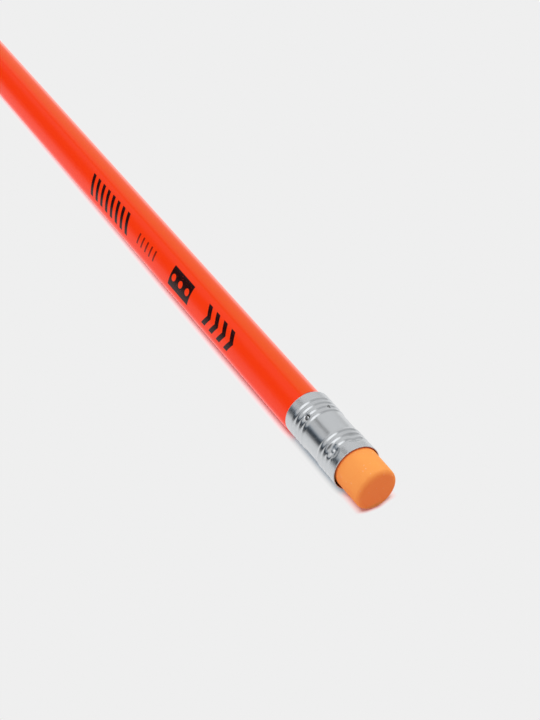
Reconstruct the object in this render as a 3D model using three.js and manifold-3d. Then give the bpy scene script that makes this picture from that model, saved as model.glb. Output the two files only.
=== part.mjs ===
// A three-sided wood pencil with a ferrule and an eraser, lying on one face.
// Millimetres, +X from the point to the eraser, +Z up, origin under the middle of the pencil.
import * as THREE from 'three';
import { mergeVertices } from 'three/addons/utils/BufferGeometryUtils.js';
import Module from 'manifold-3d';

// Barrel
const pencilLength = 190;
const faceReach = 3.25; // axis to the middle of a face
const faceRadius = 6.5; // the slight bulge of a face
const cornerRadius = 2.13;
const lacquerThickness = 0.07;
const primerThickness = 0.06;
const coatClearance = 0.02;

// Lead and glue
const leadDiameter = 2.2;
const glueThickness = 0.06;
const filmClearance = 0.02;

// Sharpened point
const sharpeningAngle = 23; // degrees, whole cone
const pointDiameter = 0.5;

// Ferrule
const ferruleLength = 14.1;
const ferruleWall = 0.25;
const cornerProud = 0.05; // barrel corners beyond the ferrule's outside
const rimChamfer = 0.08;
const endBand = 1.6; // plain band at each end
const beadPitch = 1.0;
const beadHeight = 0.12;
const grooveCount = 3; // in each group

// Punched marks that lock the ferrule to the wood and to the eraser
const markSpacing = 60; // degrees between the two marks of a pair
const pairTurn = 100; // degrees to the middle of a pair, with another pair opposite
const prongDepth = 0.22;
const prongRadius = 0.7;
const dentDepth = 0.28;
const dentRadius = 1.1;

// Tenon and eraser
const tenonLength = 6.6;
const shoulderGap = 0.1; // barrel corners to the ferrule's rim
const seatClearance = 0.04;
const buttGap = 0.3; // tenon to eraser, inside the ferrule
const eraserReach = 6.0; // beyond the ferrule's mouth
const eraserGap = 0.18; // around the eraser in the mouth
const eraserEdgeRadius = 0.9;

// Facets
const sectors = 36; // around the axis
const faceSegments = 5; // odd, so that a flat lies in the middle of a face
const cornerSegments = 6;
const edgeSegments = 4;
const stepsPerBead = 4;
const weldDistance = 1e-4;

// Sizes that follow
const faceCentre = faceRadius - faceReach; // from the axis to the centre of a face's arc
const cornerCentre = (Math.sqrt(4 * (faceRadius - cornerRadius) ** 2 - 3 * faceCentre ** 2) - faceCentre) / 2;
const cornerReach = cornerCentre + cornerRadius;
const leadRadius = leadDiameter / 2;
const glueBore = leadRadius + filmClearance;
const glueRadius = glueBore + glueThickness;
const woodBore = glueRadius + filmClearance;
const primerInset = lacquerThickness + coatClearance;
const woodInset = primerInset + primerThickness + coatClearance;
const ferruleRadius = cornerReach - cornerProud;
const eraserRadius = ferruleRadius - ferruleWall - eraserGap;
const mouthAt = pencilLength - eraserReach;
const ferruleAt = mouthAt - ferruleLength;
const tenonEnd = ferruleAt + tenonLength;
const plugEnd = tenonEnd + buttGap;
const overrun = cornerReach; // blanks run this far past what is cut from them
const axisHeight = ferruleRadius * Math.cos(Math.PI / sectors);

const wasm = await Module();
wasm.setup();

function toSolid(geometry) {
  const bare = geometry.clone();
  bare.deleteAttribute('normal');
  bare.deleteAttribute('uv');
  const merged = mergeVertices(bare, weldDistance);
  const corners = merged.index.array;
  const triVerts = [];
  for (let i = 0; i < corners.length; i += 3) {
    const [a, b, c] = corners.slice(i, i + 3);
    if (a !== b && b !== c && c !== a) triVerts.push(a, b, c);
  }
  return new wasm.Manifold(new wasm.Mesh({
    numProp: 3,
    vertProperties: new Float32Array(merged.attributes.position.array),
    triVerts: new Uint32Array(triVerts),
  }));
}

function toGeometry(solid) {
  const mesh = solid.getMesh();
  const geometry = new THREE.BufferGeometry();
  geometry.setAttribute('position', new THREE.BufferAttribute(mesh.vertProperties, 3));
  geometry.setIndex(new THREE.BufferAttribute(mesh.triVerts, 1));
  geometry.computeVertexNormals();
  return geometry;
}

// Turned shape from [radius, distance from the point] pairs, with a flat facing down
function turned(profile) {
  const points = profile.map(([radius, along]) => new THREE.Vector2(radius, along));
  const geometry = new THREE.LatheGeometry(points, sectors, Math.PI / sectors);
  return geometry.rotateX(Math.PI / 2);
}

function rod(radius) {
  return toSolid(turned([[0, -overrun], [radius, -overrun], [radius, pencilLength], [0, pencilLength]]));
}

// Rounded triangle with one face down: three face arcs joined by three corner arcs
function section(inset) {
  const points = [];
  const addArc = (centre, towards, radius, middle, half, segments) => {
    for (let i = 0; i < segments; i += 1) {
      const angle = middle - half + (2 * half * i) / segments;
      points.push(new THREE.Vector2(
        centre * Math.cos(towards) + radius * Math.cos(angle),
        centre * Math.sin(towards) + radius * Math.sin(angle),
      ));
    }
  };
  const third = Math.PI / 3;
  const halfFace = Math.atan2(
    cornerCentre * Math.sin(third),
    cornerCentre * Math.cos(third) + faceCentre,
  );
  for (let side = 0; side < 3; side += 1) {
    const face = side * 2 * third;
    const corner = face + third;
    addArc(-faceCentre, face, faceRadius - inset, face, halfFace, faceSegments);
    addArc(cornerCentre, corner, cornerRadius - inset, corner, third - halfFace, cornerSegments);
  }
  return new THREE.Shape(points);
}

function prism(inset) {
  const depth = tenonEnd + 2 * overrun;
  const geometry = new THREE.ExtrudeGeometry(section(inset), { depth, bevelEnabled: false });
  return toSolid(geometry.translate(0, 0, -overrun));
}

function slab(thickness, middle) {
  const geometry = new THREE.BoxGeometry(thickness, 4 * cornerReach, 2 * pencilLength);
  return toSolid(geometry.translate(middle, 0, pencilLength / 2));
}

// The ferrule's wall from rim to mouth, with the beads of both groups, moved in by an inset
function ferruleLine(inset) {
  const group = [];
  const steps = (grooveCount + 0.5) * stepsPerBead;
  for (let i = 0; i <= steps; i += 1) {
    const lift = (1 + Math.cos((2 * Math.PI * i) / stepsPerBead)) / 2;
    const radius = ferruleRadius - beadHeight * (1 - lift) - inset;
    group.push([radius, endBand + (i * beadPitch) / stepsPerBead]);
  }
  const mirrored = group.map(([radius, along]) => [radius, ferruleLength - along]).reverse();
  return [...group, ...mirrored].map(([radius, along]) => [radius, ferruleAt + along]);
}

// How far the punched marks push the wall in
function markDepth(along, angle) {
  const marks = [
    [ferruleAt + endBand + (grooveCount - 0.5) * beadPitch, prongDepth, prongRadius],
    [mouthAt - endBand - beadPitch, dentDepth, dentRadius],
  ];
  const turn = angle - THREE.MathUtils.degToRad(pairTurn);
  const fromMiddle = Math.abs(turn - Math.PI * Math.round(turn / Math.PI));
  const around = (fromMiddle - THREE.MathUtils.degToRad(markSpacing / 2)) * ferruleRadius;
  let depth = 0;
  for (const [at, full, radius] of marks) {
    const away = Math.min(Math.hypot(along - at, around) / radius, 1);
    depth += (full * (1 + Math.cos(Math.PI * away))) / 2;
  }
  return depth;
}

function pressMarks(geometry) {
  const position = geometry.attributes.position;
  for (let i = 0; i < position.count; i += 1) {
    const [x, y, along] = [position.getX(i), position.getY(i), position.getZ(i)];
    const radius = Math.hypot(x, y);
    if (radius > 0) {
      const scale = 1 - markDepth(along, Math.atan2(x, -y)) / radius;
      position.setXY(i, x * scale, y * scale);
    }
  }
  return geometry;
}

function makeFerrule() {
  const inner = ferruleRadius - ferruleWall;
  return pressMarks(turned([
    [ferruleRadius - rimChamfer, ferruleAt],
    [ferruleRadius, ferruleAt + rimChamfer],
    ...ferruleLine(0),
    [ferruleRadius, mouthAt - rimChamfer],
    [ferruleRadius - rimChamfer, mouthAt],
    [inner, mouthAt],
    ...ferruleLine(ferruleWall).reverse(),
    [inner, ferruleAt],
    [ferruleRadius - rimChamfer, ferruleAt],
  ]));
}

function makeEraser() {
  const seat = ferruleLine(ferruleWall + seatClearance).slice(0, -1); // up to the mouth's band
  const edge = [];
  for (let i = 0; i <= edgeSegments; i += 1) {
    const angle = (Math.PI / 2) * (i / edgeSegments);
    edge.push([
      eraserRadius - eraserEdgeRadius * (1 - Math.cos(angle)),
      pencilLength - eraserEdgeRadius * (1 - Math.sin(angle)),
    ]);
  }
  const plugRadius = ferruleRadius - ferruleWall - beadHeight - seatClearance;
  return pressMarks(turned([
    [0, plugEnd],
    [plugRadius, plugEnd],
    ...seat.filter(([, along]) => along > plugEnd),
    [eraserRadius, mouthAt - endBand],
    ...edge,
    [0, pencilLength],
  ]));
}

// What sharpening and turning leave of the coated blank: the cone, the barrel and the tenon
function makeEnvelope() {
  const slope = Math.tan(THREE.MathUtils.degToRad(sharpeningAngle / 2));
  const pointRadius = pointDiameter / 2;
  const clear = cornerReach + overrun;
  const seat = ferruleLine(ferruleWall + seatClearance);
  const seatStart = ferruleRadius - ferruleWall - seatClearance;
  const tenonRadius = seatStart - beadHeight;
  return toSolid(pressMarks(turned([
    [0, 0],
    [pointRadius, 0],
    [clear, (clear - pointRadius) / slope],
    [clear, ferruleAt - shoulderGap],
    [seatStart, ferruleAt - shoulderGap],
    ...seat.filter(([, along]) => along < tenonEnd),
    [tenonRadius, tenonEnd],
    [0, tenonEnd],
  ])));
}

const lacquer = { color: 0xf5532a, roughness: 0.25, metalness: 0 };
const primer = { color: 0xf1eeea, roughness: 0.6, metalness: 0 };
const wood = { color: 0xd9b48a, roughness: 0.75, metalness: 0 };
const glue = { color: 0xe8dcc0, roughness: 0.5, metalness: 0 };
const graphite = { color: 0x3a3a3c, roughness: 0.45, metalness: 0.2 };
const aluminium = { color: 0xc3c6c9, roughness: 0.25, metalness: 1 };
const rubber = { color: 0xf4813f, roughness: 0.85, metalness: 0 };

const pencil = new THREE.Group();
pencil.rotation.y = Math.PI / 2;
pencil.position.set(-pencilLength / 2, 0, axisHeight);

function addPiece(name, geometry, look) {
  const mesh = new THREE.Mesh(geometry, new THREE.MeshStandardMaterial(look));
  mesh.name = name;
  pencil.add(mesh);
}

const envelope = makeEnvelope();
const woodBlank = prism(woodInset);
const glueGap = slab(glueThickness + 2 * filmClearance, 0).add(rod(woodBore));
const casing = woodBlank.intersect(envelope).subtract(glueGap);
const glueFilm = slab(glueThickness, 0).intersect(woodBlank).add(rod(glueRadius)).subtract(rod(glueBore));
const primerSkin = prism(primerInset).subtract(prism(primerInset + primerThickness));
const lacquerSkin = prism(0).subtract(prism(lacquerThickness));
const halfSlab = 2 * cornerReach;

addPiece('graphite_core', toGeometry(rod(leadRadius).intersect(envelope)), graphite);
addPiece('glue_line', toGeometry(glueFilm.intersect(envelope)), glue);
addPiece('wood_slat_upper', toGeometry(casing.intersect(slab(halfSlab, -halfSlab / 2))), wood);
addPiece('wood_slat_lower', toGeometry(casing.intersect(slab(halfSlab, halfSlab / 2))), wood);
addPiece('primer_coat', toGeometry(primerSkin.intersect(envelope)), primer);
addPiece('lacquer_coat', toGeometry(lacquerSkin.intersect(envelope)), lacquer);
addPiece('ferrule', makeFerrule(), aluminium);
addPiece('eraser_plug', makeEraser(), rubber);

export default pencil;
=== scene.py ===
import math

import bpy
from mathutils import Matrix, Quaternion, Vector


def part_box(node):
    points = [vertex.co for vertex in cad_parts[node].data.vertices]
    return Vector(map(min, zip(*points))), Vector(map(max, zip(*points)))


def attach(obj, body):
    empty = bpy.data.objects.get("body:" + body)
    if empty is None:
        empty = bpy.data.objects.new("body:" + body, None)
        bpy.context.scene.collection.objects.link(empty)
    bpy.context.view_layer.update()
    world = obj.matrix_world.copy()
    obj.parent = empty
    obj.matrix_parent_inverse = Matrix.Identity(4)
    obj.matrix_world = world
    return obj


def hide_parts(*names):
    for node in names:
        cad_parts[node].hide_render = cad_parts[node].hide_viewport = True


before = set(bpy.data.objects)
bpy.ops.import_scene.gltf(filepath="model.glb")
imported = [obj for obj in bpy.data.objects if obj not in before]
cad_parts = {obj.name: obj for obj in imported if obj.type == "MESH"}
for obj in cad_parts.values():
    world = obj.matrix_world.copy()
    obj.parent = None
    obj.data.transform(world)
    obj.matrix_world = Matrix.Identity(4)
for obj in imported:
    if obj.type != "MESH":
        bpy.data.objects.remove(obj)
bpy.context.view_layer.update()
print("frame loaded:", ", ".join(sorted(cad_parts)))

mm = 0.001
mergeWithin = 0.0005 * mm  # points closer than this are one point
cutWithin = 0.0001 * mm  # points closer than this lie on the cut
rimLow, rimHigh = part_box("ferrule")
plugLow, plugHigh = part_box("eraser_plug")
leadLow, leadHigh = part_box("graphite_core")
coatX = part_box("lacquer_coat")[0].x  # where sharpening has left the first of the lacquer
axisZ = (rimLow.z + rimHigh.z) / 2  # height of the pencil's axis
pointX = leadLow.x  # the very point of the lead
endX = plugHigh.x  # the flat end of the eraser
rimX, mouthX = rimLow.x, rimHigh.x  # the ferrule, barrel side and eraser side
tenonX = leadHigh.x  # where the turned wood ends inside the ferrule


# Small helpers around the operators

def pickOnly(piece):
    if bpy.context.mode != "OBJECT":
        bpy.ops.object.mode_set(mode="OBJECT")
    bpy.ops.object.select_all(action="DESELECT")
    if piece:
        piece.select_set(True)
        bpy.context.view_layer.objects.active = piece


def startVertex(name, place):
    pickOnly(None)
    bpy.ops.mesh.primitive_plane_add(size=mm, location=place)
    piece = bpy.context.object
    piece.name = piece.data.name = name
    bpy.ops.object.transform_apply(location=True, rotation=True, scale=True)
    bpy.ops.object.mode_set(mode="EDIT")
    bpy.ops.mesh.select_mode(type="VERT")
    bpy.ops.mesh.select_all(action="SELECT")
    bpy.ops.mesh.merge(type="CENTER")
    return piece


def cleanMesh():
    bpy.ops.object.mode_set(mode="EDIT")
    bpy.ops.mesh.select_all(action="SELECT")
    bpy.ops.mesh.remove_doubles(threshold=mergeWithin)
    bpy.ops.mesh.normals_make_consistent(inside=False)
    bpy.ops.object.mode_set(mode="OBJECT")


def turnProfile(name, profile, steps):
    # profile: (x along the pencil in metres, radius in mm), spun once round the axis
    firstX, firstR = profile[0]
    piece = startVertex(name, (firstX, 0, axisZ + firstR * mm))
    for (fromX, fromR), (toX, toR) in zip(profile, profile[1:]):
        bpy.ops.mesh.extrude_region_move(
            TRANSFORM_OT_translate={"value": (toX - fromX, 0, (toR - fromR) * mm)})
    bpy.ops.mesh.select_all(action="SELECT")
    bpy.ops.mesh.spin(steps=steps, angle=2 * math.pi, center=(0, 0, axisZ), axis=(1, 0, 0))
    cleanMesh()
    return piece


def cutWith(piece, cutter, operation):
    pickOnly(piece)
    bpy.ops.object.modifier_add(type="BOOLEAN")
    step = piece.modifiers[-1]
    step.operation = operation
    step.solver = "EXACT"
    step.object = cutter
    bpy.ops.object.modifier_apply(modifier=step.name)


def smoothOver(piece, degrees):
    pickOnly(piece)
    bpy.ops.object.shade_smooth_by_angle(angle=math.radians(degrees))


def handOver(piece, node, material):
    pickOnly(piece)
    bpy.ops.object.transform_apply(location=True, rotation=True, scale=True)
    piece.data.materials.clear()
    piece.data.materials.append(material)
    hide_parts(node)
    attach(piece, "root")
    print(piece.name, "made,", len(piece.data.polygons), "faces")


# Shader values as expressions

class Wire:
    def __init__(self, tree, socket=None):
        self.tree = tree
        self.socket = socket

    def node(self, kind, settings=None, inputs=None, output=0):
        made = self.tree.nodes.new(kind)
        for key, value in (settings or {}).items():
            setattr(made, key, value)
        for key, value in (inputs or {}).items():
            if isinstance(value, Wire):
                self.tree.links.new(value.socket, made.inputs[key])
            else:
                made.inputs[key].default_value = value
        return Wire(self.tree, made.outputs[output])

    def out(self, name):
        return Wire(self.tree, self.socket.node.outputs[name])

    def maths(self, operation, *values):
        return self.node("ShaderNodeMath", {"operation": operation}, dict(enumerate(values)))

    def __add__(self, other):
        return self.maths("ADD", self, other)

    def __sub__(self, other):
        return self.maths("SUBTRACT", self, other)

    def __mul__(self, other):
        return self.maths("MULTIPLY", self, other)

    def __truediv__(self, other):
        return self.maths("DIVIDE", self, other)

    def __pow__(self, other):
        return self.maths("POWER", self, other)

    def __rsub__(self, other):
        return self.maths("SUBTRACT", other, self)

    def __rtruediv__(self, other):
        return self.maths("DIVIDE", other, self)

    def __abs__(self):
        return self.maths("ABSOLUTE", self)

    def __gt__(self, other):
        return self.maths("GREATER_THAN", self, other)

    def __or__(self, other):
        return self.maths("MAXIMUM", self, other)

    __radd__ = __add__
    __rmul__ = __mul__

    def fraction(self):
        return self.maths("FRACT", self)

    def ease(self, low, high, start=0.0, end=1.0):
        return self.node("ShaderNodeMapRange", {"interpolation_type": "SMOOTHSTEP"}, {
            "Value": self, "From Min": low, "From Max": high, "To Min": start, "To Max": end})

    def strip(self, centre, half, soft):
        return (half - abs(self - centre)).ease(-soft, soft)

    def between(self, low, high):
        return low + self * (high - low)

    def mix(self, low, high):
        # 6 and 7 are the colours of a Mix node, and its colour output is 2
        return self.node("ShaderNodeMix", {"data_type": "RGBA"}, {0: self, 6: low, 7: high}, 2)


black = (0, 0, 0, 1)
warmGlow = (2.0, 0, 0, 1)  # painted red glow, for the red light that fluorescent colours add


def surface(name, **constants):
    material = bpy.data.materials.new(name)
    material.use_nodes = True
    tree = material.node_tree
    shader = tree.nodes["Principled BSDF"]
    for socket, value in constants.items():
        shader.inputs[socket].default_value = value
    wire = Wire(tree)
    place = wire.node("ShaderNodeTexCoord", output="Object")
    inMm = wire.node("ShaderNodeVectorMath", {"operation": "SCALE"}, {0: place, "Scale": 1 / mm})
    return material, shader, inMm


def feed(shader, socket, wire):
    wire.tree.links.new(wire.socket, shader.inputs[socket])


def apart(place):
    return place.node("ShaderNodeSeparateXYZ", None, {0: place})


def fromAxis(place):
    # along the pencil, then sideways and upwards from its axis, in mm
    parts = apart(place)
    return parts.out("X"), parts.out("Y"), parts.out("Z") - axisZ / mm


def turned(y, z, degrees):
    # across and outwards, for a place that is turned so far from -Y up towards +Z
    turn = math.radians(degrees)
    return y * math.sin(turn) + z * math.cos(turn), z * math.sin(turn) - y * math.cos(turn)


def noise(place, scale, detail=2.0, roughness=0.5):
    return place.node("ShaderNodeTexNoise", None, {
        "Vector": place, "Scale": scale, "Detail": detail, "Roughness": roughness})


def streaks(place, stretch, *settings):
    return noise(place.node("ShaderNodeMapping", None, {"Vector": place, "Scale": stretch}), *settings)


def weighed(shares, *wires):
    total = wires[0] * shares[0]
    for share, wire in zip(shares[1:], wires[1:]):
        total = total + wire * share
    return total


def bump(height, distance, strength):
    return height.node("ShaderNodeBump", None, {
        "Height": height, "Distance": distance * mm, "Strength": strength})


# Barrel: a rounded triangle lying on one face, sharpened at the point

barrel = {
    "faceReach": 3.25, "faceRadius": 6.5, "cornerRadius": 2.13,
    "faceSteps": 24, "cornerSteps": 28, "turnSteps": 120, "smoothAngle": 8,
    "lacquer": 0.07, "primer": 0.06, "glueFilm": 0.06, "clearance": 0.02, "overrun": 4.0,
    "coneAngle": 23.0, "pointRadius": 0.25, "shoulderGap": 0.03, "tenonRadius": 3.37,
    "prongRoom": 2.95, "prongRoomSpan": (3.2, 4.8), "prongRoomSlope": 0.1,  # turned down for the prongs
}
sixthTurn = math.pi / 3
faceCentre = barrel["faceRadius"] - barrel["faceReach"]
cornerCentre = (math.sqrt(4 * (barrel["faceRadius"] - barrel["cornerRadius"]) ** 2
                          - 3 * faceCentre ** 2) - faceCentre) / 2
halfFace = math.atan2(cornerCentre * math.sin(sixthTurn), cornerCentre * math.cos(sixthTurn) + faceCentre)
coneSlope = math.tan(math.radians(barrel["coneAngle"] / 2))
primerInset = barrel["lacquer"] + barrel["clearance"]
woodInset = primerInset + barrel["primer"] + barrel["clearance"]
blankX = pointX - barrel["overrun"] * mm  # blanks are longer than the barrel, and cut by the envelope
blankEnd = tenonX + barrel["overrun"] * mm


def towards(turn, reach):
    # a point off the axis, turned from straight down towards +Y, in mm
    return (reach * math.sin(turn), -reach * math.cos(turn))


def triangleOutline(name, inset):
    offY, offZ = towards(0, -faceCentre)
    startY, startZ = towards(-halfFace, barrel["faceRadius"] - inset)
    piece = startVertex(name, (blankX, (offY + startY) * mm, axisZ + (offZ + startZ) * mm))
    for side in range(3):
        face = side * 2 * sixthTurn
        corner = face + sixthTurn
        for turn, reach, half, steps in (
                (face, -faceCentre, halfFace, barrel["faceSteps"]),
                (corner, cornerCentre, sixthTurn - halfFace, barrel["cornerSteps"])):
            y, z = towards(turn, reach)
            bpy.ops.mesh.spin(steps=steps, angle=2 * half, axis=(-1, 0, 0),
                              center=(blankX, y * mm, axisZ + z * mm))
    bpy.ops.mesh.select_all(action="SELECT")
    bpy.ops.mesh.remove_doubles(threshold=mergeWithin)
    return piece


def drawOut():
    bpy.ops.mesh.extrude_region_move(TRANSFORM_OT_translate={"value": (blankEnd - blankX, 0, 0)})
    cleanMesh()


def solidBlank(name, inset):
    piece = triangleOutline(name, inset)
    bpy.ops.mesh.edge_face_add()
    drawOut()
    return piece


def coatBlank(name, inset, thickness):
    piece = triangleOutline(name, inset)
    drawOut()
    pickOnly(piece)
    bpy.ops.object.modifier_add(type="SOLIDIFY")
    wall = piece.modifiers[-1]
    wall.thickness = thickness * mm
    wall.offset = -1
    wall.use_even_offset = True
    bpy.ops.object.modifier_apply(modifier=wall.name)
    return piece


def sharpenedEnvelope():
    clear, tenon, room = barrel["faceRadius"], barrel["tenonRadius"], barrel["prongRoom"]
    shoulderX = rimX - barrel["shoulderGap"] * mm
    roomX, roomEnd = (rimX + along * mm for along in barrel["prongRoomSpan"])
    slope = barrel["prongRoomSlope"] * mm
    return turnProfile("envelope", [
        (pointX, 0), (pointX, barrel["pointRadius"]),
        (pointX + (clear - barrel["pointRadius"]) / coneSlope * mm, clear),
        (shoulderX, clear), (shoulderX, tenon),
        (roomX, tenon), (roomX + slope, room), (roomEnd - slope, room), (roomEnd, tenon),
        (tenonX, tenon), (tenonX, 0)], barrel["turnSteps"])


def keepSide(piece, height, upper):
    pickOnly(piece)
    bpy.ops.object.mode_set(mode="EDIT")
    bpy.ops.mesh.select_all(action="SELECT")
    bpy.ops.mesh.bisect(plane_co=(0, 0, height), plane_no=(0, 0, 1), use_fill=True,
                        clear_inner=upper, clear_outer=not upper, threshold=cutWithin)
    bpy.ops.object.mode_set(mode="OBJECT")


# Lacquer: fluorescent orange-red gloss with black print on one face

lacquerLook = {
    "colour": (0.27, 0.054, 0.006, 1), "mottleAndPaintedLight": (0.17, 0.092, 0.006, 1), "ink": (0.024, 0.003, 0.003, 1),
    "specular": 0.21, "roughness": 0.15, "inkRoughness": 0.06, "unevenRoughness": 0.08,
    "relief": (0.7, 0.15, 0.12), "bump": (0.03, 0.35),
    "glow": 0.70, "lowerEdge": (-1.9, -2.25, 0.5, 1.0), "underside": (-3.0, -2.55, 0.25, 1.0),
    "paintedLightOutwards": (2.95, 2.2), "paintedLightUpwards": (-0.3, 0.8), "paintedLightShare": 0.9, "mottleShare": 0.22,
    "mottle": ((0.25, 1, 1), 1.1, 3.0), "peel": ((0.5, 1, 1), 1.6, 2.0), "uneven": (2.3, 3.0),
    "dust": (14.0, 1.0), "dustFrom": (0.72, 0.8), "pinholes": (9.0, 1.0), "pinholesTo": (0.22, 0.26),
    "faceTurn": 30.0, "faceFrom": 2.6, "printMiddle": -0.2, "printHalf": 1.72, "printSoft": 0.03,
    # each mark's start, length and pitch along the barrel in mm, with half widths as shares of the pitch
    "slashes": (3.05, 16.0, 2.0), "slashLean": 0.45, "slashHalf": 0.24,
    "ticks": (22.3, 7.5, 1.5), "tickSpan": (-0.15, 0.95), "tickHalf": 0.15, "tickStrength": 0.78,
    "block": (35.1, 7.0), "holes": 3, "holeRadius": 0.62,
    "chevrons": (47.5, 10.0, 2.5), "chevronPoint": 0.6, "chevronHalf": 0.23,
}


def printedMarks(x, across):
    look, soft = lacquerLook, lacquerLook["printSoft"]
    middle = across - look["printMiddle"]
    line = middle.strip(0.0, look["printHalf"], soft)

    def within(along, length):
        return along.strip(length / 2, length / 2, soft)

    def strokes(along, pitch, half):
        return (along / pitch).fraction().strip(0.5, half, soft / pitch)

    start, length, pitch = look["slashes"]
    leaning = x + across * look["slashLean"] - start
    slashes = strokes(leaning, pitch, look["slashHalf"]) * line * within(leaning, length)

    start, length, pitch = look["ticks"]  # finer and fainter
    along = x - start
    ticks = strokes(along, pitch, look["tickHalf"]) * within(along, length)
    ticks = ticks * middle.strip(*look["tickSpan"], soft) * look["tickStrength"]

    start, length = look["block"]
    along = x - start
    pitch, radius = length / look["holes"], look["holeRadius"]
    alongHole = ((along / pitch).fraction() - 0.5) * pitch
    fromHole = (alongHole ** 2 + middle ** 2) ** 0.5
    block = line * within(along, length) * fromHole.ease(radius - soft, radius + soft)

    start, length, pitch = look["chevrons"]
    pointed = x + abs(middle) * look["chevronPoint"] - start
    chevrons = strokes(pointed, pitch, look["chevronHalf"]) * line * within(pointed, length)
    return slashes | ticks | block | chevrons


def lacquerMaterial():
    look = lacquerLook
    material, shader, place = surface("fluorescent_lacquer", **{
        "Specular IOR Level": look["specular"], "Emission Strength": look["glow"]})
    x, y, z = fromAxis(place)
    across, outward = turned(y, z, look["faceTurn"])
    pinholes = noise(place, *look["pinholes"]).ease(*look["pinholesTo"])
    ink = printedMarks(x, across) * (outward > look["faceFrom"]) * pinholes
    mottle = streaks(place, *look["mottle"])
    upper = outward.ease(*look["paintedLightOutwards"]) * z.ease(*look["paintedLightUpwards"])
    mottleAndPaintedLight = upper * look["paintedLightShare"] + (mottle - 0.5) * look["mottleShare"]  # painted light: more orange over the upper edge, with random mottle
    paint = mottleAndPaintedLight.mix(look["colour"], look["mottleAndPaintedLight"])
    feed(shader, "Base Color", ink.mix(paint, look["ink"]))
    glow = z.ease(*look["lowerEdge"]) * z.ease(*look["underside"])  # painted glow, stronger on the lower edges, which the pale floor lights
    feed(shader, "Emission Color", ink.mix(glow.mix(black, warmGlow), black))
    uneven = (noise(place, *look["uneven"]) - 0.5) * look["unevenRoughness"]
    feed(shader, "Roughness", look["roughness"] + ink * look["inkRoughness"] + uneven)
    dust = noise(place, *look["dust"]).ease(*look["dustFrom"])
    relief = weighed(look["relief"], streaks(place, *look["peel"]), dust, ink)
    feed(shader, "Normal", bump(relief, *look["bump"]))
    return material


# Primer: a chalky white undercoat, seen as a hairline at the sharpened edge

primerLook = {
    "light": (0.86, 0.85, 0.82, 1), "dull": (0.76, 0.74, 0.70, 1),
    "grain": (6.0, 4.0), "roughness": (0.55, 0.80), "bump": (0.02, 0.5),
}


def primerMaterial():
    look = primerLook
    material, shader, place = surface("white_primer")
    grain = noise(place, *look["grain"])
    feed(shader, "Base Color", grain.mix(look["dull"], look["light"]))
    feed(shader, "Roughness", grain.between(*look["roughness"]))
    feed(shader, "Normal", bump(grain, *look["bump"]))
    return material


# Wood: straight pale grain with the fine rings that a sharpener leaves on the cone

woodLook = {
    "early": (0.72, 0.47, 0.26, 1), "late": (0.46, 0.25, 0.115, 1), "pore": (0.30, 0.155, 0.07, 1),
    "rings": ((0.02, 0.9, 1.6), 1.4, 2.0), "ringCount": 7.0, "ringTone": (0.15, 0.95, 0.0, 0.5),
    "fibre": ((0.05, 5.0, 5.0), 2.0, 3.0, 0.55), "fibreTone": 0.75,
    "pores": ((0.3, 10.0, 10.0), 1.6, 1.0), "poresFrom": (0.66, 0.74), "poreTone": 0.6,
    "shavingsPerMm": 3.1, "shavingWobble": 0.6, "relief": (0.8, 0.35, -0.5), "bump": (0.05, 0.6),
    "roughness": (0.58, 0.83), "lowerShift": 7.3,
}


def woodMaterial(name, shift):
    look = woodLook
    material, shader, place = surface(name)
    moved = place.node("ShaderNodeMapping", None, {"Vector": place, "Location": (shift, shift, -shift)})
    bands = (streaks(moved, *look["rings"]) * look["ringCount"]).fraction()
    fibre = streaks(moved, *look["fibre"])
    pores = streaks(moved, *look["pores"]).ease(*look["poresFrom"])
    tone = bands.ease(*look["ringTone"]) + (fibre - 0.5) * look["fibreTone"]
    colour = tone.mix(look["early"], look["late"])
    feed(shader, "Base Color", (pores * look["poreTone"]).mix(colour, look["pore"]))
    feed(shader, "Roughness", fibre.between(*look["roughness"]))
    x = apart(place).out("X")
    shaving = (x * look["shavingsPerMm"] + fibre * look["shavingWobble"]).fraction().ease(0.0, 1.0)
    relief = weighed(look["relief"], fibre, shaving, pores)
    feed(shader, "Normal", bump(relief, *look["bump"]))
    return material


# Glue: a pale amber film

glueLook = {
    "clear": (0.78, 0.63, 0.38, 1), "set": (0.60, 0.42, 0.20, 1),
    "patch": (1.5, 3.0), "roughness": (0.3, 0.55),
}


def glueMaterial():
    look = glueLook
    material, shader, place = surface("wood_glue")
    patch = noise(place, *look["patch"])
    feed(shader, "Base Color", patch.mix(look["clear"], look["set"]))
    feed(shader, "Roughness", patch.between(*look["roughness"]))
    return material


# Lead: dark graphite with the burnish of sharpening

leadLook = {
    "diameter": 2.2, "tipRound": 0.22, "tipSteps": 6, "tipStepAngle": 13, "coneSteps": 8,
    "turnSteps": 64, "smoothAngle": 9,
    "dark": (0.035, 0.035, 0.038, 1), "burnished": (0.13, 0.13, 0.14, 1), "metallic": 0.25,
    "grit": (9.0, 4.0, 0.6), "rubsPerMm": 4.3, "rubWobble": 0.8, "tone": (0.7, 0.3),
    "roughness": (0.32, 0.57), "relief": (1.0, 0.4), "bump": (0.03, 0.6),
}


def leadMaterial():
    look = leadLook
    material, shader, place = surface("graphite", Metallic=look["metallic"])
    x = apart(place).out("X")
    grit = noise(place, *look["grit"])
    rub = (x * look["rubsPerMm"] + grit * look["rubWobble"]).fraction()
    tone = weighed(look["tone"], grit, rub)
    feed(shader, "Base Color", tone.mix(look["dark"], look["burnished"]))
    feed(shader, "Roughness", grit.between(*look["roughness"]))
    feed(shader, "Normal", bump(weighed(look["relief"], grit, rub), *look["bump"]))
    return material


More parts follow.
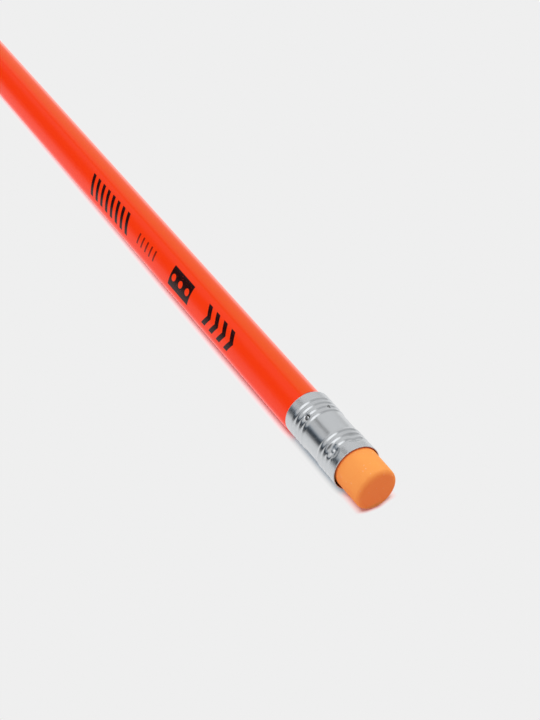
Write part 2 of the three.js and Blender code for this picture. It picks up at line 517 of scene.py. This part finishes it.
def makeLead():
    radius, tip = leadLook["diameter"] / 2, leadLook["tipRound"]
    profile = [(pointX, 0)]
    for step in range(1, leadLook["tipSteps"] + 1):  # blunt rounded tip
        angle = math.radians(leadLook["tipStepAngle"] * step)
        profile.append((pointX + tip * (1 - math.cos(angle)) * mm, tip * math.sin(angle)))
    coneEnd = pointX + (radius - barrel["pointRadius"]) / coneSlope * mm
    startX, startR = profile[-1]
    for step in range(1, leadLook["coneSteps"] + 1):
        share = step / leadLook["coneSteps"]
        profile.append((startX + (coneEnd - startX) * share, startR + (radius - startR) * share))
    profile += [(tenonX, radius), (tenonX, 0)]
    piece = turnProfile("graphite_lead", profile, leadLook["turnSteps"])
    smoothOver(piece, leadLook["smoothAngle"])
    handOver(piece, "graphite_core", leadMaterial())


# Casing: two grooved slats glued round the lead, then primed and lacquered

def makeCasing():
    envelope = sharpenedEnvelope()
    gap, film = barrel["clearance"], barrel["glueFilm"]
    glueBore = leadLook["diameter"] / 2 + gap
    glueRadius = glueBore + film
    woodBore = glueRadius + gap

    def cutRod(piece, name, radius, operation):
        rod = turnProfile(name, [(blankX, 0), (blankX, radius), (blankEnd, radius), (blankEnd, 0)],
                          leadLook["turnSteps"])
        cutWith(piece, rod, operation)
        bpy.data.objects.remove(rod)

    def sharpen(piece, node, material):
        cutWith(piece, envelope, "INTERSECT")
        smoothOver(piece, barrel["smoothAngle"])
        handOver(piece, node, material)

    for name, node, upper in (("upper_slat", "wood_slat_upper", True),
                              ("lower_slat", "wood_slat_lower", False)):
        slat = solidBlank(name, woodInset)
        sideways = (film / 2 + gap) * mm * (1 if upper else -1)
        keepSide(slat, axisZ + sideways, upper)
        cutRod(slat, "groove", woodBore, "DIFFERENCE")
        shift = 0.0 if upper else woodLook["lowerShift"]  # so that the slats differ in grain
        sharpen(slat, node, woodMaterial(name + "_wood", shift))

    glue = solidBlank("glue_film", woodInset)
    keepSide(glue, axisZ - film / 2 * mm, True)
    keepSide(glue, axisZ + film / 2 * mm, False)
    cutRod(glue, "sleeve", glueRadius, "UNION")
    cutRod(glue, "lead_room", glueBore, "DIFFERENCE")
    sharpen(glue, "glue_line", glueMaterial())

    primer = coatBlank("primer_skin", primerInset, barrel["primer"])
    sharpen(primer, "primer_coat", primerMaterial())
    lacquer = coatBlank("lacquer_skin", 0, barrel["lacquer"])
    sharpen(lacquer, "lacquer_coat", lacquerMaterial())
    bpy.data.objects.remove(envelope)


# Ferrule: drawn aluminium with a group of rolled beads and two opposite pairs of marks towards each end

ferrule = {
    "wall": 0.25, "rimRound": 0.125, "lip": 0.12, "lipRun": 0.9, "lipGap": 0.1,
    "endBand": 1.6, "pitch": 1.0, "beadHeight": 0.12, "grooves": 3,
    "edgeSteps": 10, "bandSteps": 14, "stepsPerBead": 12, "middleSteps": 36, "liningEvery": 3,
    "turnSteps": 240, "smoothAngle": 50, "ironing": 12,
    "markTurns": (-30, 30, 150, 210), "prongForce": (1.0, 0.6, 1.0, 0.6),
    "prongMiddle": 81.0, "prongAt": 3.9, "prongSmoothed": 0.85, "prongRing": (0.31, 0.10), "ringSoft": 0.04,
    "prongDish": (0.10, 0.9), "prongHole": (0.14, 0.5), "prongNub": (-0.12, 0.25),  # depth and radius
    "dentMiddle": 74.0, "dentAt": 11.8, "dentSmoothed": 1.105,
    "dentDish": (0.30, 1.45), "dentNub": (-0.09, 0.4),
    "bright": (0.768, 0.785, 0.802, 1), "dull": (0.604, 0.628, 0.652, 1), "paintedPitShade": (0.06, 0.055, 0.05, 1),
    "drawn": ((0.15, 3.0, 3.0), 2.2, 4.0, 0.6), "rolled": ((6.0, 0.3, 0.3), 1.8, 3.0),
    "cloud": (0.8, 4.0, 0.6), "grit": ((0.6, 1.0, 1.0), 4.5, 3.0, 0.65),
    "bandEdge": (1.9, 1.4), "shearedEdge": (0.16, 0.06), "shearedMatt": 0.6, "tone": (0.35, 0.35, 0.3),
    "roughness": 0.10, "wear": (0.1, 0.05, 0.06, 0.06, 0.4),
    "relief": (0.8, 0.4, 0.7, 0.5), "bump": (0.02, 0.52),
}
ferruleRadius = (rimHigh.z - rimLow.z) / 2 / mm
ferruleLength = (mouthX - rimX) / mm


def ferruleMaterial():
    look = ferrule
    material, shader, place = surface("drawn_aluminium")
    drawn = streaks(place, *look["drawn"])
    rolled = streaks(place, *look["rolled"])
    cloud = noise(place, *look["cloud"])
    grit = streaks(place, *look["grit"])
    metal = weighed(look["tone"], drawn, cloud, grit).mix(look["dull"], look["bright"])
    x, y, z = fromAxis(place)
    # painted shade: a dark ring in the pit of each prong
    fromProng = x - rimX / mm - look["prongAt"]
    rings = []
    for degrees, force in zip(look["markTurns"], look["prongForce"]):
        aside, outward = turned(y, z, look["prongMiddle"] + degrees)
        radius, half = (size * force for size in look["prongRing"])
        ring = ((fromProng ** 2 + aside ** 2) ** 0.5).strip(radius, half, look["ringSoft"])
        rings.append(ring * (outward > 0.0))
    paintedPitShade = rings[0]
    for ring in rings[1:]:
        paintedPitShade = paintedPitShade | ring
    feed(shader, "Base Color", paintedPitShade.mix(metal, look["paintedPitShade"]))
    toEnd = ferruleLength / 2 - abs(x - (rimX + mouthX) / 2 / mm)
    bands = toEnd.ease(*look["bandEdge"])
    cutEdge = toEnd.ease(*look["shearedEdge"])
    wear = weighed(look["wear"], cloud, rolled, grit, bands, cutEdge)
    feed(shader, "Roughness", look["roughness"] + wear)
    feed(shader, "Metallic", 1 - cutEdge * look["shearedMatt"])  # the sheared edge is matt
    relief = weighed(look["relief"], drawn, rolled, cloud, grit)
    feed(shader, "Normal", bump(relief, *look["bump"]))
    return material


def beadLine():
    # (distance from the barrel rim, depth below the full radius) along the outside, in mm
    line = []
    bandFrom, bandTo = ferrule["rimRound"], ferrule["endBand"]
    for step in range(ferrule["bandSteps"]):
        line.append((bandFrom + (bandTo - bandFrom) * step / ferrule["bandSteps"], 0.0))
    beads = ferrule["grooves"] + 0.5  # the last half leads down to the plain middle
    for step in range(int(beads * ferrule["stepsPerBead"]) + 1):
        share = step / ferrule["stepsPerBead"]
        depth = ferrule["beadHeight"] * (1 - math.cos(2 * math.pi * share)) / 2
        line.append((bandTo + ferrule["pitch"] * share, depth))
    mirrored = [(ferruleLength - along, depth) for along, depth in reversed(line)]
    start, end = line[-1], mirrored[0]
    between = [(start[0] + (end[0] - start[0]) * step / ferrule["middleSteps"], start[1])
               for step in range(1, ferrule["middleSteps"])]
    return line + between + mirrored


def markPlace(along, degrees):
    turn = math.radians(degrees)
    outward = Vector((0, -math.cos(turn), math.sin(turn)))
    return Vector((rimX + along * mm, 0, axisZ)) + outward * ferruleRadius * mm, outward


def pickPoints(piece, wanted):
    pickOnly(piece)
    bpy.ops.object.mode_set(mode="EDIT")
    bpy.ops.mesh.select_mode(type="VERT")
    bpy.ops.mesh.select_all(action="DESELECT")
    bpy.ops.object.mode_set(mode="OBJECT")
    for point in piece.data.vertices:
        point.select = wanted(point)
    bpy.ops.object.mode_set(mode="EDIT")


def ironOut(piece, along, degrees, radius):
    # the punch flattens the beads around a mark
    place = markPlace(along, degrees)[0]
    pickPoints(piece, lambda point: (point.co - place).length < radius * mm)
    bpy.ops.mesh.vertices_smooth(factor=0.5, repeat=ferrule["ironing"])
    bpy.ops.mesh.subdivide(number_cuts=1)
    bpy.ops.object.mode_set(mode="OBJECT")


def pressMark(piece, along, degrees, dish, falloff):
    depth, radius = dish
    place, outward = markPlace(along, degrees)
    nearest = min(piece.data.vertices, key=lambda point: (point.co - place).length_squared).index
    pickPoints(piece, lambda point: point.index == nearest)
    bpy.ops.transform.translate(value=outward * -depth * mm, use_proportional_edit=True,
                                proportional_edit_falloff=falloff, proportional_size=radius * mm)
    bpy.ops.object.mode_set(mode="OBJECT")


def roundEdge(half):
    # (distance from the end, depth) over the edge of the sheet
    turns = [math.pi * step / ferrule["edgeSteps"] for step in range(ferrule["edgeSteps"] + 1)]
    return [(half * (1 - math.sin(turn)), half * (1 - math.cos(turn))) for turn in turns]


def makeFerrule():
    outside = beadLine()
    lining = outside[ferrule["liningEvery"]::ferrule["liningEvery"]]  # the inside needs fewer points
    wall, lipEnd = ferrule["wall"], ferruleLength - ferrule["lipRun"]
    profile = roundEdge(ferrule["rimRound"])[::-1] + outside[1:-1]
    profile += [(ferruleLength - along, depth) for along, depth in roundEdge(ferrule["lip"] / 2)]
    profile.append((lipEnd, wall))  # the sheet thins towards the mouth
    profile += [(along, depth + wall) for along, depth in reversed(lining)
                if along < lipEnd - ferrule["lipGap"]]
    profile.append(profile[0])
    profile = [(rimX + along * mm, ferruleRadius - depth) for along, depth in profile]
    piece = turnProfile("ferrule_sleeve", profile, ferrule["turnSteps"])
    for turn, force in zip(ferrule["markTurns"], ferrule["prongForce"]):
        prongTurn, dentTurn = ferrule["prongMiddle"] + turn, ferrule["dentMiddle"] + turn
        ironOut(piece, ferrule["prongAt"], prongTurn, ferrule["prongSmoothed"] * force)
        for dish, falloff in (("prongDish", "SMOOTH"), ("prongHole", "SPHERE"), ("prongNub", "SMOOTH")):
            pressMark(piece, ferrule["prongAt"], prongTurn, [size * force for size in ferrule[dish]], falloff)
        ironOut(piece, ferrule["dentAt"], dentTurn, ferrule["dentSmoothed"])
        for dish in ("dentDish", "dentNub"):
            pressMark(piece, ferrule["dentAt"], dentTurn, ferrule[dish], "SMOOTH")
    smoothOver(piece, ferrule["smoothAngle"])
    handOver(piece, "ferrule", ferruleMaterial())


# Eraser: a soft orange rubber plug with a rounded edge and an end cut a little askew

eraser = {
    "radius": 3.41, "edge": 0.8, "edgeSteps": 10, "crown": 0.04, "crownSteps": 6, "turnSteps": 160,
    "seatRadius": 3.44, "seatEdge": 0.1, "seatSteps": 16, "seatStop": 1.4, "neckSteps": 8, "smoothAngle": 50,
    "slant": 6.2, "slantTowards": 36.0, "offCentre": (0, 0.051, 0.031), "offCentreFrom": 1.0,
    "squeeze": (0.32, 1.6),  # depth and radius, under the dents in the ferrule
    "colour": (0.595, 0.413, 0.092, 1), "pale": (0.615, 0.456, 0.122, 1), "deep": (0.565, 0.374, 0.083, 1),
    "speck": (0.95, 0.72, 0.5, 1), "cloud": (0.7, 3.0), "grain": (7.0, 3.0, 0.6), "paleFrom": (0.45, 0.7),
    "paleShare": 0.35, "specks": (5.0, 0.0), "specksFrom": (0.80, 0.84),
    "specular": 0.3, "roughness": (0.7, 0.9), "relief": (1.0, 0.3), "bump": (0.06, 0.45),
    "glow": 0.45, "inside": (-1.5, 2.0, 0.0, 0.3), "daylight": (-0.2, 0.1),
    "underside": (-1.9, -2.6), "undersideEnd": (-1.3, -0.8, 0.1, -0.4),
}


def eraserMaterial():
    look = eraser
    material, shader, place = surface("orange_rubber", **{
        "Emission Strength": look["glow"], "Specular IOR Level": look["specular"]})
    cloud = noise(place, *look["cloud"])
    grain = noise(place, *look["grain"])
    specks = noise(place, *look["specks"]).ease(*look["specksFrom"])
    colour = cloud.mix(look["deep"], look["colour"])
    colour = (grain.ease(*look["paleFrom"]) * look["paleShare"]).mix(colour, look["pale"])
    feed(shader, "Base Color", specks.mix(colour, look["speck"]))
    x, z = fromAxis(place)[::2]
    inside = z.ease(*look["inside"])  # painted shade: the glow dims inside the ferrule, where little light reaches
    daylight = (x - mouthX / mm).ease(*look["daylight"], inside, 1.0)
    belowEnd = (x - endX / mm).ease(*look["undersideEnd"])
    under = z.ease(*look["underside"]) * belowEnd  # painted glow where the pale floor lights it, not at its edge
    feed(shader, "Emission Color", (daylight * (1 + under) / 2).mix(black, warmGlow))
    feed(shader, "Roughness", grain.between(*look["roughness"]))
    feed(shader, "Normal", bump(weighed(look["relief"], grain, specks), *look["bump"]))
    return material


def eraserProfile(backX, flatX):
    radius, edge, seat, crown = eraser["radius"], eraser["edge"], eraser["seatRadius"], eraser["crown"]
    seatX = backX + eraser["seatEdge"] * mm
    seatEnd, bendX = mouthX - eraser["seatStop"] * mm, flatX - edge * mm
    profile = [(backX, 0), (backX, seat - eraser["seatEdge"]), (seatX, seat)]
    for step in range(1, eraser["seatSteps"] + 1):
        profile.append((seatX + (seatEnd - seatX) * step / eraser["seatSteps"], seat))
    for step in range(1, eraser["neckSteps"] + 1):
        share = step / eraser["neckSteps"]
        profile.append((seatEnd + (bendX - seatEnd) * share, seat + (radius - seat) * share))
    for step in range(1, eraser["edgeSteps"] + 1):
        angle = math.pi / 2 * step / eraser["edgeSteps"]
        profile.append((flatX - (edge * (1 - math.sin(angle)) + crown) * mm,
                        radius - edge * (1 - math.cos(angle))))
    for step in range(1, eraser["crownSteps"] + 1):
        share = 1 - step / eraser["crownSteps"]
        profile.append((flatX - crown * share ** 2 * mm, (radius - edge) * share))
    return profile


def makeEraser():
    edge, slant = eraser["edge"], math.radians(eraser["slant"])
    reach = (eraser["radius"] - edge) * math.sin(slant) + edge * (1 - math.cos(slant) / 2)
    hingeX = endX - reach * mm  # so that the slanted end stays inside the CAD's length
    flatX = hingeX + edge / 2 * mm
    piece = turnProfile("eraser_rubber", eraserProfile(plugLow.x, flatX), eraser["turnSteps"])
    for turn in ferrule["markTurns"]:
        pressMark(piece, ferrule["dentAt"], ferrule["dentMiddle"] + turn, eraser["squeeze"], "SMOOTH")
    edgeX = flatX - edge * mm - mergeWithin
    pickPoints(piece, lambda point: point.co.x > edgeX)  # the end was cut a little askew
    lean = math.radians(eraser["slantTowards"])
    for axis, share in (("Y", math.sin(lean)), ("Z", math.cos(lean))):
        bpy.ops.transform.rotate(value=-slant * share, orient_axis=axis, orient_type="GLOBAL",
                                 center_override=(hingeX, 0, axisZ))
    standsX = mouthX - eraser["offCentreFrom"] * mm
    pickPoints(piece, lambda point: point.co.x > standsX)  # it stands a little to one side
    bpy.ops.transform.translate(value=Vector(eraser["offCentre"]) * mm)
    smoothOver(piece, eraser["smoothAngle"])
    handOver(piece, "eraser_plug", eraserMaterial())


# Floor: pale paper, shaded along the pencil's foot, with painted shadow and painted pink glow there

floorLook = {
    "size": 12.0,  # in metres, where the other lengths are in mm
    "colour": (0.863, 0.863, 0.863, 1), "roughness": 0.9,
    "bounce": (0.60, 0.60, 0.60, 1),  # what the floor gives back to the pencil
    "footMiddle": 0.8, "footHalf": 2.05, "footRound": 0.6,
    "footEnds": (93.37, 92.75), "footEndsAcross": (0.5, 3.3), "footTaper": 2.2,
    "barrelFoot": (2.0, -2.0, 0.0, 0.3), "eraserFoot": (-1.5, 1.5, 0.0, -0.4),
    "farFoot": (-15.0, -110.0, 0.0, -0.6),
    "alongBarrel": (1.0, -1.0), "alongLacquer": (-4.0, 0.0), "alongEraser": (-0.5, 1.0),
    "fade": (0.0, 1.6), "barrelFade": (0.2, 1.35),
    "paintedContactShadow": (0.66, 0.52, 0.53, 1), "contactReach": (0.45, 0.70), "eraserContact": 0.8,
    "metalShadow": (0.70, 0.79, 0.88, 1), "metalReach": (1.3, 0.3),
    "paintedGlow": (1.12, 0.88, 0.9, 1), "paintedGlowReach": (1.5, 0.6),
    "unlitAcross": (-4.0, -55.0), "unlit": 0.25,
}


def makeFloor():
    look = floorLook
    pickOnly(None)
    bpy.ops.mesh.primitive_plane_add(size=look["size"], location=(0, 0, 0))
    floor = bpy.context.object
    floor.name = "floor"
    material, shader, place = surface("pale_floor", **{
        "Roughness": look["roughness"], "Specular IOR Level": 0.0})
    parts, rays = apart(place), place.node("ShaderNodeLightPath")
    camera, glossy = rays.out("Is Camera Ray"), rays.out("Is Glossy Ray")
    x, y = parts.out("X"), parts.out("Y")
    fromRim, fromMouth = x - rimX / mm, x - mouthX / mm

    def paper(colour, strength=1.0):
        return place.node("ShaderNodeEmission", None, {"Color": colour, "Strength": strength})

    def blend(share, first, second):
        return place.node("ShaderNodeMixShader", None, {0: share, 1: first, 2: second})

    wider = fromRim.ease(*look["barrelFoot"]) + fromMouth.ease(*look["eraserFoot"])
    wider = wider + fromRim.ease(*look["farFoot"])
    aside = (abs(y - look["footMiddle"]) - look["footHalf"] - wider) | 0.0
    footEnd = y.ease(*look["footEndsAcross"], *look["footEnds"])  # it ends sooner on the right
    ahead = ((abs(x) - footEnd) | 0.0) * look["footTaper"]
    beyond = (aside ** 2 + ahead ** 2) ** 0.5 - look["footRound"]

    alongBarrel = fromRim.ease(*look["alongBarrel"])
    lacquered = (x - coatX / mm).ease(*look["alongLacquer"]) * alongBarrel
    alongEraser = fromMouth.ease(*look["alongEraser"])
    # painted contact shadow, pinkish, on the floor under the lacquer and the eraser
    paintedContactShadow = beyond.ease(alongEraser.between(*look["contactReach"]), 0.0)
    paintedContactShadow = paintedContactShadow * (alongEraser * look["eraserContact"] + lacquered)
    besideMetal = beyond.ease(*look["metalReach"]) * (1 - alongBarrel - alongEraser)
    shaded = besideMetal.mix(paintedContactShadow.mix(look["colour"], look["paintedContactShadow"]), look["metalShadow"])
    feed(shader, "Base Color", camera.mix(look["bounce"], shaded))

    fadeStart, fadeEnd = (alongBarrel.between(*ends) for ends in zip(look["fade"], look["barrelFade"]))
    plain = beyond.ease(fadeStart, fadeEnd) * (camera | glossy)
    paintedGlowShare = beyond.ease(*look["paintedGlowReach"]) * (lacquered + alongEraser)  # painted pink glow on the floor beside the lacquer and the rubber
    unlit = y.ease(*look["unlitAcross"]) * glossy  # the far left, as the metal sees it
    seen = blend(paintedGlowShare, paper(look["colour"]), paper(look["paintedGlow"]))
    seen = blend(unlit, seen, paper(look["colour"], look["unlit"]))
    mixed = blend(plain, Wire(place.tree, shader.outputs[0]), seen)
    place.tree.links.new(mixed.socket, place.tree.nodes["Material Output"].inputs["Surface"])
    floor.data.materials.append(material)


# World: the white panels and the dark gap that the metal mirrors

panels = {
    "left": 0.65, "gap": 0.04, "gapHeights": (0.2, 0.42), "leftEdge": (-0.07, -0.05),
    "right": 0.75, "rightFoot": 0.86, "rightHeights": (0.0, 0.5), "rightFar": (-0.55, -0.35, 1.0, 0.72),
    "seam": 0.10, "seamAcross": (0.45, 0.893), "seamStrip": (-0.025, 0.05, 0.06), "seamHeights": (0.3, 0.4),
    "front": 0.14, "frontFrom": (0.0, 0.25),
    "overhead": 1.25, "overheadAt": (0.932, 0.362), "overheadEdge": (0.88, 0.935),
    "neutral": (1, 1, 1, 1), "cool": (0.7, 0.94, 1.22, 1),  # the gap is bluish
}


def makeWorld():
    world = bpy.data.worlds.new("studio")
    bpy.context.scene.world = world
    world.use_nodes = True
    tree = world.node_tree
    wire = Wire(tree)
    parts = apart(wire.node("ShaderNodeTexCoord", output="Generated"))
    x, y, z = parts.out("X"), parts.out("Y"), parts.out("Z")

    def over(level, share, value):
        return level * (1 - share) + share * value

    towardsX, towardsY = panels["seamAcross"]
    side = x * towardsX - y * towardsY  # above 0 on the left of the seam between the panels
    onLeft = side.ease(*panels["leftEdge"])
    gapFrom, gapTo = panels["gapHeights"]
    left = z.ease(gapFrom, gapTo, panels["gap"], panels["left"])
    right = z.ease(*panels["rightHeights"], panels["right"] * panels["rightFoot"], panels["right"])
    level = over(right * x.ease(*panels["rightFar"]), onLeft, left)
    seam = side.strip(*panels["seamStrip"]) * z.ease(*panels["seamHeights"])
    level = over(level, seam, panels["seam"])
    level = over(level, x.ease(*panels["frontFrom"]), panels["front"])
    upwards, sideways = panels["overheadAt"]
    above = (z * upwards - y * sideways).ease(*panels["overheadEdge"])
    level = over(level, above, panels["overhead"])
    seen = wire.node("ShaderNodeLightPath", output="Is Camera Ray")
    level = over(level, seen, floorLook["colour"][0])
    background = tree.nodes["Background"]
    feed(background, "Strength", level)
    dim = onLeft * z.ease(gapTo, gapFrom)
    feed(background, "Color", dim.mix(panels["neutral"], panels["cool"]))


# Lamps: three large round softboxes

softboxes = {  # direction, size in metres, radiance
    "softbox_overhead": ((-0.25, 0.05, 0.95), 4.6, 0.44),
    "softbox_right": ((-0.1, 0.85, 0.6), 4.2, 1.9),
    "softbox_left": ((-0.2, -0.9, 0.4), 4.0, 1.3),
}
softboxAway = 4.0


def addSoftbox(name, direction, size, radiance):
    place = Vector(direction).normalized() * softboxAway
    pickOnly(None)
    bpy.ops.object.light_add(type="AREA", location=place)
    lamp = bpy.context.object
    lamp.name = name
    lamp.data.shape = "DISK"
    lamp.data.size = size
    lamp.data.energy = radiance * math.pi * math.pi * size ** 2 / 4
    lamp.rotation_euler = (-place).to_track_quat("-Z", "Y").to_euler()
    lamp.visible_glossy = False  # the metal mirrors the panels of the world instead


# Camera: the photograph's view

view = {
    "eye": (0.243675, -0.098565, 0.165962), "look": (-0.69195, 0.37829, -0.61490), "roll": -0.0008,
    "lens": 86.02, "sensor": 36, "clip": (0.01, 50),
}


def makeCamera():
    bpy.ops.object.camera_add(location=view["eye"])
    camera = bpy.context.object
    aim = Vector(view["look"]).to_track_quat("-Z", "Y") @ Quaternion((0, 0, 1), view["roll"])
    camera.rotation_euler = aim.to_euler()
    camera.data.lens = view["lens"]
    camera.data.sensor_width = view["sensor"]
    camera.data.clip_start, camera.data.clip_end = view["clip"]
    bpy.context.scene.camera = camera


makeLead()
makeCasing()
makeFerrule()
makeEraser()
makeFloor()
makeWorld()
for softbox, settings in softboxes.items():
    addSoftbox(softbox, *settings)
makeCamera()
bpy.context.scene.view_settings.view_transform = "Standard"
print("studio ready")
